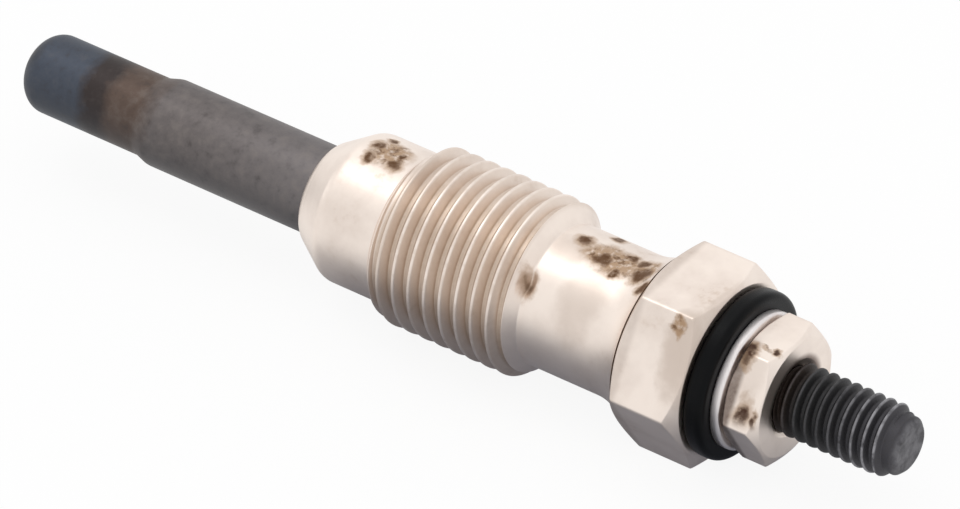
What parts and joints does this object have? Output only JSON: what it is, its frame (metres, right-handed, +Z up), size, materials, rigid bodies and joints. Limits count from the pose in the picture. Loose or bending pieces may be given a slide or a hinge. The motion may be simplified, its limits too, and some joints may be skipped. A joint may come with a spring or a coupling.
{
  "type": "diesel glow plug",
  "caption": "Sheathed glow plug: domed heater tube pressed into a plated housing with conical seat, fine thread and hexagon, and a threaded terminal stud with nut, washer and insulating bush.",
  "frame": {"origin": "centre of the plug's bounding box at the surface it lies on", "axes": "+X along the plug's axis from the heater tip to the terminal stud, +Z up, with one flat of the hexagon down"},
  "size_m": [0.0566, 0.0116, 0.01],
  "materials": {
    "plated_steel": "nickel-plated steel, warm white, tarnished in small brown patches",
    "sheath_alloy": "oxidised heat-resisting alloy, heat-tinted blue and brown at the tip",
    "resistance_wire": "bare resistance wire",
    "magnesia": "compacted white insulating powder",
    "seal_rubber": "black sealing rubber",
    "dark_steel": "blackened steel with worn thread crests",
    "black_plastic": "black moulded insulating plastic"
  },
  "bodies": {
    "root": {"housing": "plated_steel", "sheath_tube": "sheath_alloy", "heating_coil": "resistance_wire", "control_coil": "resistance_wire", "magnesia_fill": "magnesia", "sheath_seal": "seal_rubber", "centre_electrode": "dark_steel", "o_ring": "seal_rubber", "insulating_bush": "black_plastic", "plain_washer": "plated_steel", "terminal_nut": "plated_steel"}
  },
  "joints": []
}
